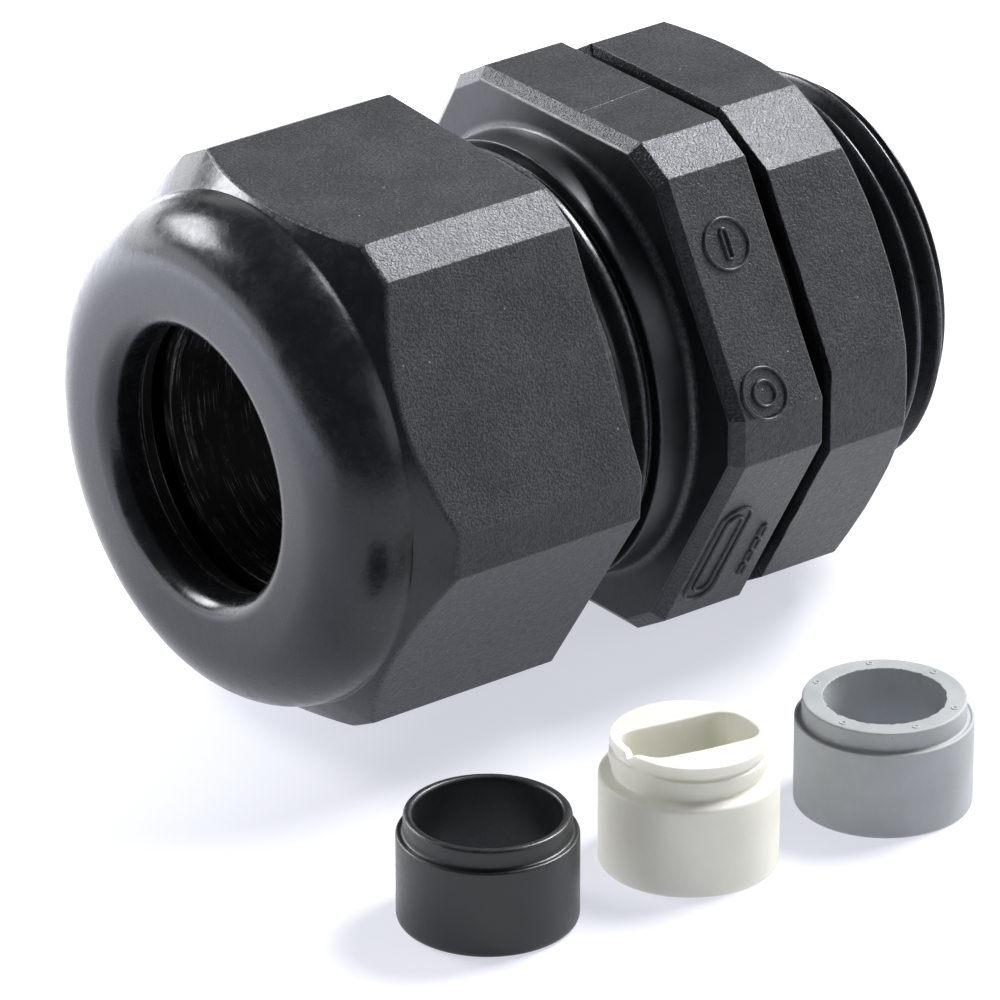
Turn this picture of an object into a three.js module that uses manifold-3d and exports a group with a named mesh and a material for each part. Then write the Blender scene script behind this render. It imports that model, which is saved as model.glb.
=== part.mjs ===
// A polyamide cable gland with a 3/4 inch NPT entry thread, and three loose sealing inserts.
//
// Frame: millimetres, +Z up. The gland's axis runs along X, with the dome nut towards -X and the entry thread
// towards +X. The origin is on the collar's lowest flat, under its middle, and the loose inserts stand at the
// same height. A place "along" is an X coordinate, and a radius is measured from the gland's axis.
//
// Both screw threads are right-handed. Each nut's thread is cut by the thread it runs on, made larger by
// THREAD_CLEARANCE, so a nut that turns and travels by its pitch stays clear in every position.

import * as THREE from 'three';
import { mergeVertices } from 'three/addons/utils/BufferGeometryUtils.js';
import Module from 'manifold-3d';

const wasm = await Module();
wasm.setup();

// --- driving dimensions ---

const ACROSS_FLATS = 33;
const AXIS_HEIGHT = ACROSS_FLATS / 2;
const TOUCH_GAP = 0.3; // left between pieces that touch
const THREAD_CLEARANCE = 0.3; // radial, between a nut's thread and the one it runs on
const ROUND_SIDES = 32;
const MERGE_DISTANCE = 1e-4;
const GRID = 1e-5; // corners are put on this grid, so that faces meant to meet meet exactly
const OUTSIDE = 24; // a radius beyond every piece of the gland
const OVERRUN = 1; // how far a cutter runs past the piece that it cuts

const COLLAR = { front: -3.4, back: 3.4, cornerFlat: 3.06, bevel: 0.75 };
const BOSS = { radius: 14.2, front: -6.1, chamfer: 0.15, foot: 0.6 }; // the round step before the collar
const BORE_RADIUS = 9.5;
const SEAL_SEAT = { radius: 11.3, floor: -11.3 };
const WALL_OVERLAP = 0.5; // how far the pieces of the fixed body reach into each other before they are joined
const THREAD_SINK = 0.1; // how far a thread's roots stand proud of the core under them

const NECK_END = -15;
const NECK_THREAD = { pitch: 2, crest: 14.2, depth: 0.9, crestWidth: 0.5, taper: 0 };
const NECK_THREAD_ROOT = -6.3; // where the neck thread has run out, next to the boss
const NECK_RUNOUT = 0.9;

const ENTRY_END = 18.6;
const ENTRY_THREAD = { pitch: 25.4 / 14, crest: 13, depth: 1.1, crestWidth: 0.24, taper: 1 / 32 };
const ENTRY_THREAD_ROOT = 3.8;
const START_CHAMFER = 1.2; // along the axis, where each thread begins
const FLANK_SLOPE = Math.tan(Math.PI / 6); // 60 degree thread forms

const DOME_NUT = { rear: -10.73, cornerFlat: 2.93, turn: 3.4 }; // turned 3.4 degrees from the collar's flats
const DOME_FRONT = -31.3;
const DOME_EDGE = { along: -26.6, radius: 16.2 }; // where the dome meets the turned corners
const DOME_NOSE_RADIUS = 11.7;
const CORNER_CONE = { along: -24.63, radius: 18.27, slope: 1.15 }; // turned on the dome nut's corners
const LIP = { radius: 8.6, round: 1.3, inner: -28.7 };
const CLAMP_CONE = { small: 11.55, large: 14.39, mouth: -20.6 };
const NUT_THREAD_END = -16.8;
const DOME_NUT_LEAD = 1; // chamfer where the dome nut's thread begins
const NUT_RELIEF_RADIUS = 14.6;
const SLIP_RING = { front: -28.4, rear: -27.6, inner: 9, outer: 11.2 };

const FINGER = { count: 12, inner: 11.5, outer: 13, halfAngle: 12.3, tip: -22.4, leafLength: 1 };
const FINGER_TIP = { innerChamfer: 0.4, outerChamfer: 0.8, outerLength: 1 };
const FINGER_LEAF = { inner: 11.7, outer: 12.5 }; // the thin living hinge at each finger's root
const FINGER_PIVOT = { along: NECK_END - TOUCH_GAP / 2, radius: 12.1 };
const FINGER_REST_ANGLE = 5.2; // degrees that the nut's cone has pressed the fingers in

const SEAL = { rear: SEAL_SEAT.floor - TOUCH_GAP, front: -26.3, bore: 8.9 };
const SEAL_BODY = { rearRadius: 11, frontRadius: 10.45, shoulder: -23.1, collarRadius: 9.9 };
const SEAL_EDGE = 0.3;

const LOCK_NUT = { front: 4.6, rear: 11.3, cornerFlat: 5.34 };
const LOCK_CONE = { along: 10.56, radius: 17.71, slope: -1.64 }; // turned on the lock nut's corners
const LOCK_NUT_LEAD = 0.8; // chamfer at both ends of the lock nut's thread
const GASKET = { front: 3.7, rear: 4.3, inner: 13.8, outer: 15.6 };

const INSERT_RADIUS = 5.4;
const INSERT_COLLAR_RADIUS = 4.96;
const INSERT_HEIGHT = 6.86;
const INSERT_SHOULDER = 5.64;
const BLACK_INSERT = { x: -33.05, y: -31.93, bore: 4.4, edge: 0.25 };
const WHITE_INSERT = { x: -19.13, y: -33.33, height: 8.1, slotLength: 7.9, slotWidth: 3.7, slotTurn: -12 };
const WHITE_OUTLINE = [ // [height, radius] from the base to the top: body, shoulder, ring, groove and cap
  [0, 4.9], [0.5, 5.4], [5.5, 5.4], [5.75, 5.2], [5.95, 4.55], [7.15, 4.5],
  [7.25, 4.3], [7.4, 4.3], [7.5, 4.45], [7.9, 4.45], [8.1, 4.3],
];
const WHITE_HUB = 0.6; // radius at the plug's middle that the slot cuts away
const GREY_INSERT = { x: -5.24, y: -34.68, bore: 3.7, edge: 0.15 };

// --- solids ---

/** The closed solid that a three.js geometry encloses. */
function solidOf(geometry) {
  geometry.deleteAttribute('normal');
  geometry.deleteAttribute('uv');
  const merged = mergeVertices(geometry, MERGE_DISTANCE);
  return new wasm.Manifold(new wasm.Mesh({
    numProp: 3,
    vertProperties: merged.attributes.position.array.map((value) => Math.round(value / GRID) * GRID),
    triVerts: new Uint32Array(merged.index.array),
  }));
}

/** The three.js geometry of a solid. */
function geometryOf(solid) {
  const mesh = solid.getMesh();
  const geometry = new THREE.BufferGeometry();
  geometry.setAttribute('position', new THREE.BufferAttribute(new Float32Array(mesh.vertProperties), 3));
  geometry.setIndex(new THREE.BufferAttribute(new Uint32Array(mesh.triVerts), 1));
  geometry.computeVertexNormals();
  return geometry;
}

/** A ring about the Y axis, from the [along, radius] corners of its section. */
function ringAboutY(section) {
  const points = section.map(([along, radius]) => new THREE.Vector2(radius, along));
  if (THREE.ShapeUtils.isClockWise(points)) {
    points.reverse();
  }
  points.push(points[0].clone());
  return new THREE.LatheGeometry(points, ROUND_SIDES);
}

/** A ring about the gland's axis, from the [along, radius] corners of its section. */
function ring(section) {
  return solidOf(ringAboutY(section).rotateZ(-Math.PI / 2));
}

/** A ring that stands on the floor, from the [height, radius] corners of its section. */
function standingRing(section) {
  return solidOf(ringAboutY(section).rotateX(Math.PI / 2));
}

/** Points on a quarter of an ellipse between two [along, radius] places; the first end is tangent to X. */
function quarterArc(from, to, steps) {
  const points = [];
  for (let step = 0; step <= steps; step += 1) {
    const angle = (Math.PI / 2) * (step / steps);
    const along = from[0] + (to[0] - from[0]) * Math.sin(angle);
    const radius = to[1] + (from[1] - to[1]) * Math.cos(angle);
    points.push([along, radius]);
  }
  return points;
}

/** Turns a shape drawn in XY and extruded along Z, so that it is drawn in YZ and extruded along X. */
function layAlongX(geometry, start) {
  return geometry.rotateX(Math.PI / 2).rotateZ(Math.PI / 2).translate(start, 0, 0);
}

/** The outline of a hexagon with a flat at its top and its corners cut to narrow flats. */
function hexagonOutline(cornerFlat) {
  const cornerRadius = ACROSS_FLATS / Math.sqrt(3);
  const flatDistance = cornerRadius - cornerFlat / 2 / Math.sqrt(3);
  const points = [];
  for (let corner = 0; corner < 6; corner += 1) {
    const angle = (corner * Math.PI) / 3;
    for (const side of [-1, 1]) {
      const point = new THREE.Vector2(flatDistance, (side * cornerFlat) / 2);
      points.push(point.rotateAround(new THREE.Vector2(), angle));
    }
  }
  return new THREE.Shape(points);
}

function hexagonPrism(start, end, cornerFlat) {
  const options = { depth: end - start, bevelEnabled: false };
  return solidOf(layAlongX(new THREE.ExtrudeGeometry(hexagonOutline(cornerFlat), options), start));
}

// --- screw threads ---

/** The gland's axis as a path, whose frames turn by the right-hand rule as it advances along X. */
class ScrewPath extends THREE.Curve {
  constructor(startTurn, turns, thread) {
    super();
    Object.assign(this, { startTurn, turns, thread });
  }

  radial(t) {
    const angle = 2 * Math.PI * (this.startTurn + this.turns * t);
    return new THREE.Vector3(0, Math.cos(angle), Math.sin(angle));
  }

  getPoint(t) {
    const advance = this.thread.pitch * (this.startTurn + this.turns * t);
    return this.radial(t).multiplyScalar(-this.thread.taper * advance).setX(advance);
  }

  getPointAt(t) {
    return this.getPoint(t);
  }

  computeFrenetFrames(segments) {
    const along = new THREE.Vector3(1, 0, 0);
    const steps = Array.from({ length: segments + 1 }, (_, step) => step / segments);
    return {
      tangents: steps.map((t) => new THREE.Vector3().crossVectors(along, this.radial(t))),
      normals: steps.map(() => along.clone()),
      binormals: steps.map((t) => this.radial(t)),
    };
  }
}

/** The section of a threaded wall in (along, radius), from one turn before start to one turn after end. */
function threadSection(thread, start, end, inner, growth) {
  const { pitch, depth, crestWidth, taper } = thread;
  const flank = depth * FLANK_SLOPE;
  const radiusAt = (along, isCrest) => (
    thread.crest + growth - (isCrest ? 0 : depth) + taper * (ENTRY_END - along)
  );
  const firstTurn = Math.floor(start / pitch) - 1;
  const lastTurn = Math.ceil(end / pitch) + 1;
  const points = [];
  for (let turn = firstTurn; turn <= lastTurn; turn += 1) {
    const crest = turn * pitch;
    for (const side of [-1, 1]) {
      const shoulder = crest + side * (crestWidth / 2);
      const foot = shoulder + side * flank;
      const pair = [[foot, false], [shoulder, true]];
      for (const [along, isCrest] of side < 0 ? pair : pair.reverse()) {
        points.push(new THREE.Vector2(along, radiusAt(along, isCrest)));
      }
    }
  }
  points.push(new THREE.Vector2(points.at(-1).x, inner), new THREE.Vector2(points[0].x, inner));
  return new THREE.Shape(points);
}

/** A threaded tube between two places along the axis, with an optional envelope that trims its ends. */
function threadedTube(thread, start, end, inner, growth, envelope) {
  const section = threadSection(thread, start, end, inner, growth);
  const halves = [0, 0.5].map((startTurn) => {
    const path = new ScrewPath(startTurn, 0.5, thread);
    return solidOf(new THREE.ExtrudeGeometry(section, { steps: ROUND_SIDES / 2, extrudePath: path }));
  });
  return halves[0].add(halves[1]).intersect(ring(envelope));
}

/** An envelope section with square ends. */
function plainEnvelope(start, end, inner) {
  return [[start, inner], [end, inner], [end, OUTSIDE], [start, OUTSIDE]];
}

// --- the gland's fixed body ---

/** The collar's hexagon, with its front edges bevelled round all twelve sides. */
function collar() {
  const { front, back, cornerFlat, bevel } = COLLAR;
  const middle = back / 2; // where the bevelled and the plain part of the collar are joined
  const bevelled = new THREE.ExtrudeGeometry(hexagonOutline(cornerFlat), {
    depth: middle - front,
    bevelThickness: bevel,
    bevelSize: bevel,
    bevelOffset: -bevel,
    bevelSegments: 1,
  });
  return solidOf(layAlongX(bevelled, front + bevel)).add(hexagonPrism(middle, back, cornerFlat));
}

/** A plain tube about the gland's axis. */
function tubeOf({ front, rear, inner, outer }) {
  return ring([[front, inner], [rear, inner], [rear, outer], [front, outer]]);
}

/** The neck, with the thread that the dome nut runs on. */
function neck() {
  const root = NECK_THREAD.crest - NECK_THREAD.depth;
  const core = tubeOf({
    front: NECK_END,
    rear: 0,
    inner: SEAL_SEAT.radius - WALL_OVERLAP,
    outer: root - THREAD_SINK,
  });
  const inner = SEAL_SEAT.radius;
  const envelope = [
    [NECK_END, inner],
    [NECK_THREAD_ROOT, inner],
    [NECK_THREAD_ROOT, root],
    [NECK_THREAD_ROOT - NECK_RUNOUT, NECK_THREAD.crest + WALL_OVERLAP],
    [NECK_END + START_CHAMFER, NECK_THREAD.crest + WALL_OVERLAP],
    [NECK_END, root],
  ];
  const hidden = inner + WALL_OVERLAP;
  return core.add(threadedTube(NECK_THREAD, NECK_END, NECK_THREAD_ROOT, hidden, 0, envelope));
}

/** The tapered entry thread, chamfered at its end. */
function entry() {
  const root = ENTRY_THREAD.crest - ENTRY_THREAD.depth;
  const core = tubeOf({
    front: 0,
    rear: ENTRY_END,
    inner: BORE_RADIUS - WALL_OVERLAP,
    outer: root - THREAD_SINK,
  });
  const inner = BORE_RADIUS;
  const envelope = [
    [ENTRY_THREAD_ROOT, inner],
    [ENTRY_END, inner],
    [ENTRY_END, root + THREAD_SINK],
    [ENTRY_END - START_CHAMFER, ENTRY_THREAD.crest + THREAD_SINK],
    [ENTRY_END - START_CHAMFER, OUTSIDE],
    [ENTRY_THREAD_ROOT, OUTSIDE],
  ];
  const hidden = inner + WALL_OVERLAP;
  return core.add(threadedTube(ENTRY_THREAD, ENTRY_THREAD_ROOT, ENTRY_END, hidden, 0, envelope));
}

/** A solid cylinder about the gland's axis. */
function rod(start, end, radius) {
  const length = end - start;
  const geometry = new THREE.CylinderGeometry(radius, radius, length, ROUND_SIDES);
  return solidOf(geometry.rotateZ(-Math.PI / 2).translate(start + length / 2, 0, 0));
}

function glandBody() {
  const inner = NECK_THREAD.crest - NECK_THREAD.depth - WALL_OVERLAP;
  const boss = ring([
    [BOSS.front, inner],
    [0, inner],
    [0, BOSS.radius + BOSS.foot],
    [COLLAR.front, BOSS.radius + BOSS.foot],
    [COLLAR.front - BOSS.foot, BOSS.radius],
    [BOSS.front + BOSS.chamfer, BOSS.radius],
    [BOSS.front, BOSS.radius - BOSS.chamfer],
  ]);
  const outside = collar().add(boss).add(neck()).add(entry());
  const throughBore = rod(NECK_END - OVERRUN, ENTRY_END + OVERRUN, BORE_RADIUS);
  const sealSeat = rod(NECK_END - OVERRUN, SEAL_SEAT.floor, SEAL_SEAT.radius);
  return outside.subtract(throughBore).subtract(sealSeat);
}

// --- the clamping end ---

/** The dome nut: its thread, the clamping cone in its dome and the rounded lip of its cable hole. */
function domeNut() {
  const { rear, cornerFlat } = DOME_NUT;
  const { crest, depth } = NECK_THREAD;
  const threadBore = crest - depth + THREAD_CLEARANCE;
  const lipStart = DOME_FRONT + LIP.round;
  const corners = [CORNER_CONE.along + (OUTSIDE - CORNER_CONE.radius) / CORNER_CONE.slope, OUTSIDE];
  const blank = ring([
    [rear, OUTSIDE],
    corners,
    ...quarterArc([DOME_EDGE.along, DOME_EDGE.radius], [DOME_FRONT, DOME_NOSE_RADIUS], 5),
    ...quarterArc([lipStart, LIP.radius], [DOME_FRONT, LIP.radius + LIP.round], 3).reverse(),
    [LIP.inner, LIP.radius],
    [LIP.inner, CLAMP_CONE.small],
    [CLAMP_CONE.mouth, CLAMP_CONE.large],
    [CLAMP_CONE.mouth, NUT_RELIEF_RADIUS],
    [NUT_THREAD_END, NUT_RELIEF_RADIUS],
    [NUT_THREAD_END, threadBore],
    [rear - DOME_NUT_LEAD, threadBore],
    [rear, crest + THREAD_CLEARANCE],
  ]);
  const tap = threadedTube(
    NECK_THREAD,
    NUT_THREAD_END - OVERRUN,
    rear + OVERRUN,
    threadBore - OVERRUN,
    THREAD_CLEARANCE,
    plainEnvelope(NUT_THREAD_END - OVERRUN / 2, rear + OVERRUN, threadBore - 2 * OVERRUN),
  );
  const hexagon = hexagonPrism(DOME_FRONT - OVERRUN, rear, cornerFlat).rotate([DOME_NUT.turn, 0, 0]);
  return blank.intersect(hexagon).subtract(tap);
}

/** One claw finger, in its pivot's own frame: straight, pointing along -X, with the gland's axis below it. */
function clawFinger() {
  const { inner, outer, halfAngle, tip, leafLength } = FINGER;
  const root = NECK_END - TOUCH_GAP;
  const half = THREE.MathUtils.degToRad(halfAngle);
  const sector = new THREE.Shape();
  sector.absarc(0, 0, outer + OVERRUN, Math.PI / 2 - half, Math.PI / 2 + half, false);
  sector.absarc(0, 0, inner - OVERRUN, Math.PI / 2 + half, Math.PI / 2 - half, true);
  sector.closePath();
  const options = { depth: root - tip + 2 * OVERRUN, bevelEnabled: false, curveSegments: 2 };
  const wedge = solidOf(layAlongX(new THREE.ExtrudeGeometry(sector, options), tip - OVERRUN));
  const leafEnd = root - leafLength;
  const barStart = leafEnd - leafLength;
  const profile = ring([
    [root, FINGER_LEAF.inner], [leafEnd, FINGER_LEAF.inner], [barStart, inner],
    [tip + FINGER_TIP.innerChamfer, inner], [tip, inner + FINGER_TIP.innerChamfer],
    [tip, outer - FINGER_TIP.outerChamfer], [tip + FINGER_TIP.outerLength, outer],
    [barStart, outer], [leafEnd, FINGER_LEAF.outer], [root, FINGER_LEAF.outer],
  ]);
  return wedge.intersect(profile).translate([-FINGER_PIVOT.along, 0, -FINGER_PIVOT.radius]);
}

/** The sealing insert that is fitted in the gland: a sleeve with a narrower collar at its front. */
function fittedSeal() {
  const { rear, front, bore } = SEAL;
  const { rearRadius, frontRadius, shoulder, collarRadius } = SEAL_BODY;
  return ring([
    [rear, bore], [rear, rearRadius - SEAL_EDGE], [rear - SEAL_EDGE, rearRadius], [NECK_END, rearRadius],
    [shoulder + SEAL_EDGE, frontRadius], [shoulder, frontRadius - SEAL_EDGE], [shoulder, collarRadius],
    [front + SEAL_EDGE, collarRadius], [front, collarRadius - SEAL_EDGE],
    [front, bore + SEAL_EDGE], [front + SEAL_EDGE, bore],
  ]);
}

// --- the panel end ---

function lockNut() {
  const { front, rear, cornerFlat } = LOCK_NUT;
  const { crest, depth, taper } = ENTRY_THREAD;
  const widest = crest + taper * (ENTRY_END - COLLAR.back);
  const threadBore = widest - depth + THREAD_CLEARANCE;
  const blank = ring([
    [front, widest + THREAD_CLEARANCE],
    [front, OUTSIDE],
    [LOCK_CONE.along + (OUTSIDE - LOCK_CONE.radius) / LOCK_CONE.slope, OUTSIDE],
    [rear, LOCK_CONE.radius + (rear - LOCK_CONE.along) * LOCK_CONE.slope],
    [rear, widest + THREAD_CLEARANCE],
    [rear - LOCK_NUT_LEAD, threadBore],
    [front + LOCK_NUT_LEAD, threadBore],
  ]);
  const straight = { ...ENTRY_THREAD, crest: widest, taper: 0 };
  const tap = threadedTube(
    straight,
    front - OVERRUN,
    rear + OVERRUN,
    threadBore - OVERRUN,
    THREAD_CLEARANCE,
    plainEnvelope(front - OVERRUN, rear + OVERRUN, threadBore - 2 * OVERRUN),
  );
  return blank.intersect(hexagonPrism(front, rear, cornerFlat)).subtract(tap);
}

// --- the loose sealing inserts, standing at the origin ---

/** A sleeve insert: a plain cylinder with a slightly narrower collar on top. */
function sleeveInsert(bore, edge) {
  return standingRing([
    [0, bore], [0, INSERT_RADIUS - edge], [edge, INSERT_RADIUS], [INSERT_SHOULDER - edge, INSERT_RADIUS],
    [INSERT_SHOULDER, INSERT_RADIUS - edge], [INSERT_SHOULDER, INSERT_COLLAR_RADIUS],
    [INSERT_HEIGHT - edge, INSERT_COLLAR_RADIUS], [INSERT_HEIGHT, INSERT_COLLAR_RADIUS - edge],
    [INSERT_HEIGHT, bore + edge], [INSERT_HEIGHT - edge, bore],
  ]);
}

/** The insert for flat cable: a stepped plug with a slot right through it. */
function slottedInsert() {
  const { height, slotLength, slotWidth, slotTurn } = WHITE_INSERT;
  const blank = standingRing([[0, WHITE_HUB], ...WHITE_OUTLINE, [height, WHITE_HUB]]);
  const slot = new THREE.Shape();
  const reach = (slotLength - slotWidth) / 2;
  slot.absarc(reach, 0, slotWidth / 2, -Math.PI / 2, Math.PI / 2, false);
  slot.absarc(-reach, 0, slotWidth / 2, Math.PI / 2, (3 * Math.PI) / 2, false);
  slot.closePath();
  const options = { depth: height + 2 * OVERRUN, bevelEnabled: false, curveSegments: 5 };
  const cutter = new THREE.ExtrudeGeometry(slot, options).translate(0, 0, -OVERRUN);
  return blank.subtract(solidOf(cutter.rotateZ(THREE.MathUtils.degToRad(slotTurn))));
}

// --- the assembly ---

const blackPolyamide = { color: 0x323437, roughness: 0.55, metalness: 0 };
const darkAcetal = { color: 0x1d1e20, roughness: 0.35, metalness: 0 };
const blackRubber = { color: 0x18191b, roughness: 0.45, metalness: 0 };
const whiteSilicone = { color: 0xefeee6, roughness: 0.5, metalness: 0 };
const greyRubber = { color: 0x9ea4a9, roughness: 0.7, metalness: 0 };

/** A named piece with a material of its own. */
function piece(name, geometry, finish) {
  const mesh = new THREE.Mesh(geometry, new THREE.MeshStandardMaterial(finish));
  mesh.name = name;
  return mesh;
}

/** The twelve claw fingers, each pressed in about its own living hinge. */
function claw() {
  const fingers = new THREE.Group();
  const geometry = geometryOf(clawFinger());
  for (let number = 1; number <= FINGER.count; number += 1) {
    const place = new THREE.Group();
    place.rotation.x = (2 * Math.PI * (number - 1)) / FINGER.count;
    const finger = piece(`claw_finger_${String(number).padStart(2, '0')}`, geometry, blackPolyamide);
    finger.position.set(FINGER_PIVOT.along, 0, FINGER_PIVOT.radius);
    finger.rotation.y = -THREE.MathUtils.degToRad(FINGER_REST_ANGLE);
    place.add(finger);
    fingers.add(place);
  }
  return fingers;
}

/** A loose insert, moved from the origin to its place on the floor. */
function looseInsert(name, solid, finish, { x, y }) {
  const insert = piece(name, geometryOf(solid), finish);
  insert.position.set(x, y, 0);
  return insert;
}

const gland = new THREE.Group();
gland.position.z = AXIS_HEIGHT;
gland.add(
  piece('gland_body', geometryOf(glandBody()), blackPolyamide),
  piece('dome_nut', geometryOf(domeNut()), blackPolyamide),
  piece('slip_ring', geometryOf(tubeOf(SLIP_RING)), darkAcetal),
  claw(),
  piece('fitted_seal', geometryOf(fittedSeal()), blackRubber),
  piece('lock_nut', geometryOf(lockNut()), blackPolyamide),
  piece('entry_gasket', geometryOf(tubeOf(GASKET)), blackRubber),
);

const model = new THREE.Group();
model.add(
  gland,
  looseInsert('insert_black', sleeveInsert(BLACK_INSERT.bore, BLACK_INSERT.edge), blackRubber, BLACK_INSERT),
  looseInsert('insert_white', slottedInsert(), whiteSilicone, WHITE_INSERT),
  looseInsert('insert_grey', sleeveInsert(GREY_INSERT.bore, GREY_INSERT.edge), greyRubber, GREY_INSERT),
);

export default model;
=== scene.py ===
"""A black polyamide cable gland on its flats, with three loose sealing inserts in front of it.

Shapes are drawn in millimetres and stored in metres. The gland's axis runs along X at AXIS_HEIGHT, and an
angle about it is measured from +Y towards +Z. A body's surface is a grid: each column is one position round
the axis, and each row is one point of a closed section. A section is a list of corners, and each corner is
(along, radius, fillet, steps to the next corner). A fillet of None keeps a corner as one smooth point.
"""
import math
from collections import namedtuple

import bpy
import numpy as np
from mathutils import Matrix, Vector


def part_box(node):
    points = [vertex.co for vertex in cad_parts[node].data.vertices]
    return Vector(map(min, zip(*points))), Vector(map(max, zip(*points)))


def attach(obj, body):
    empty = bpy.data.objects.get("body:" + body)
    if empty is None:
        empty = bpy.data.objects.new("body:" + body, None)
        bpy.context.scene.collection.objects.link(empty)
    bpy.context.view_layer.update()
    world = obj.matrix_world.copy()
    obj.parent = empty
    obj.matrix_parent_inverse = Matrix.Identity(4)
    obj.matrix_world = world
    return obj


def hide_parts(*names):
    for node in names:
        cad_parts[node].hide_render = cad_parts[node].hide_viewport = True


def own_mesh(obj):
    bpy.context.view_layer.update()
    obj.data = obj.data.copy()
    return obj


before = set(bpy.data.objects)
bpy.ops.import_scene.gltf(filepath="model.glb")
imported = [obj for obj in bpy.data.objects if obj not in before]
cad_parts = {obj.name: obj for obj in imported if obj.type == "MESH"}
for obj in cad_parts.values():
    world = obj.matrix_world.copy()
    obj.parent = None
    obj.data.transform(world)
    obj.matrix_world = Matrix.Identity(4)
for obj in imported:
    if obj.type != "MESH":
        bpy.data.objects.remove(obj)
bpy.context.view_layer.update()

MM = 0.001
INCH = 25.4


def span(node, axis):
    """Where a CAD node starts and ends along an axis, in millimetres."""
    low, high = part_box(node)
    return low[axis] / MM, high[axis] / MM


def middle(node, axis):
    return sum(span(node, axis)) / 2


# --- dimensions, from the CAD nodes' boxes and the part's own driving values ---

Thread = namedtuple("Thread", "pitch crest depth crest_width taper")

ACROSS_FLATS = span("lock_nut", 2)[1]
AXIS_HEIGHT = middle("lock_nut", 2)
DOME_FRONT, DOME_REAR = span("dome_nut", 0)
NECK_END, ENTRY_END = span("gland_body", 0)
LOCK_FRONT, LOCK_REAR = span("lock_nut", 0)
GASKET_FRONT, GASKET_REAR = span("entry_gasket", 0)
RING_FRONT, RING_REAR = span("slip_ring", 0)
SEAL_FRONT, SEAL_REAR = span("fitted_seal", 0)

COLLAR_FRONT, COLLAR_BACK = -3.4, 3.4
COLLAR_BEVEL = 0.75
COLLAR_MEAN_RADIUS = 17.0
BOSS_RADIUS, BOSS_FRONT = 14.2, -6.1
BORE_RADIUS = 9.5
SEAL_SEAT_RADIUS, SEAL_SEAT_FLOOR = 11.3, -11.3

NECK_THREAD = Thread(pitch=2.0, crest=14.2, depth=0.9, crest_width=0.5, taper=0.0)
ENTRY_THREAD = Thread(pitch=INCH / 14, crest=13.0, depth=1.1, crest_width=0.24, taper=1 / 32)
THREAD_CLEARANCE = 0.3
THREAD_SINK = 0.15  # how far a body's surface is behind the roots of the thread that it carries
ENTRY_CORE_FLARE = 0.9  # how much wider the entry's core is at the collar
THREAD_COLUMNS = 128
THREAD_STEPS = 20  # rows in each pitch of a thread
THREAD_SOFTNESS = 0.045  # the rounding between a thread's flanks, crests and roots

# The width of the narrow flat that replaces each corner of a hexagon.
COLLAR_CORNER_FLAT, DOME_CORNER_FLAT, LOCK_CORNER_FLAT = 3.06, 2.93, 5.34

DOME_TURN = math.radians(3.4)
DOME_EDGE_X, DOME_EDGE_RADIUS = -26.6, 16.2
NOSE_RADIUS = 11.7
CORNER_CONE_X, CORNER_CONE_RADIUS, CORNER_CONE_SLOPE = -24.63, 18.27, 1.15
LIP_RADIUS, LIP_ROUND, LIP_INNER = 8.6, 1.3, -28.7
CLAMP_CONE_SMALL, CLAMP_CONE_LARGE, CLAMP_CONE_MOUTH = 11.55, 14.39, -20.6
NUT_THREAD_END = -16.8

LOCK_CONE_X, LOCK_CONE_RADIUS, LOCK_CONE_SLOPE = 10.56, 17.71, -1.64
LOCK_THREAD_CREST = ENTRY_THREAD.crest + ENTRY_THREAD.taper * (ENTRY_END - COLLAR_BACK) + THREAD_CLEARANCE
FLASH = 0.035  # how ragged the lock nut's front edge is

GASKET_INNER, GASKET_OUTER = 13.8, 15.6
SLIP_RING_INNER, SLIP_RING_OUTER = 9.0, 11.2
SEAL_BORE, SEAL_COLLAR, SEAL_SHOULDER, SEAL_FRONT_RADIUS, SEAL_REAR_RADIUS = 8.9, 9.9, -23.1, 10.45, 11.0
SEAL_CONE_END = -15.0

FINGERS = 12
FINGER_HALF_ANGLE = math.radians(12.3)
FINGER_PIVOT = (-15.15, 12.1)
FINGER_LEAN = math.radians(5.2)  # how far the nut's cone has pressed the fingers in

INSERT_RADIUS, INSERT_COLLAR_RADIUS = 5.4, 4.96
INSERT_SHOULDER, INSERT_HEIGHT = 5.64, 6.86
BLACK_BORE, GREY_BORE = 4.4, 3.7
PIN_MARKS = (8, 62, 118, 196, 255, 301)  # in degrees round the grey insert's rim
PIN_MARK_CIRCLE, PIN_MARK_RADIUS = 4.4, 0.17
PLUG_CAP_RADIUS, PLUG_NECK_RADIUS = 4.45, 4.3
PLUG_BASE_RADIUS = 5.0
SLOT_TURN = math.radians(-12)
SLOT_REACH, SLOT_HALF_WIDTH, SLOT_FILLET = 3.95, 1.85, 1.75


# --- grids ---


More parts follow.
